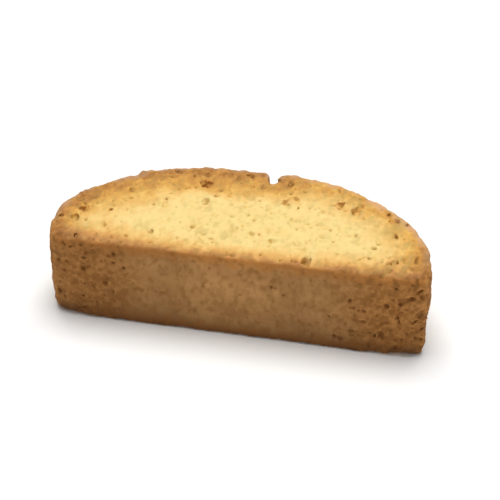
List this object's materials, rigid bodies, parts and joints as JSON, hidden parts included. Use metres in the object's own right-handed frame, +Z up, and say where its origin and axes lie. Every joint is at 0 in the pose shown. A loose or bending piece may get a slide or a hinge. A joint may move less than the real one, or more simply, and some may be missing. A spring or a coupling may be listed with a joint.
{
  "type": "biscotto",
  "caption": "Half-moon slice of twice-baked biscuit, with a flat base crust, an arched crust, two pale cut faces and opened air holes. It lies on a cut face.",
  "frame": {"origin": "bottom centre of the slice's box, on the cut face that it rests on", "axes": "+X along the slice's length, across the baked log; -Y out of the flat base crust and +Y out of the arched crust; +Z up through the slice's thickness, out of the upper cut face"},
  "size_m": [0.086, 0.037, 0.021],
  "materials": {
    "baked_dough": null
  },
  "bodies": {
    "root": {"biscotto": "baked_dough"}
  },
  "joints": []
}
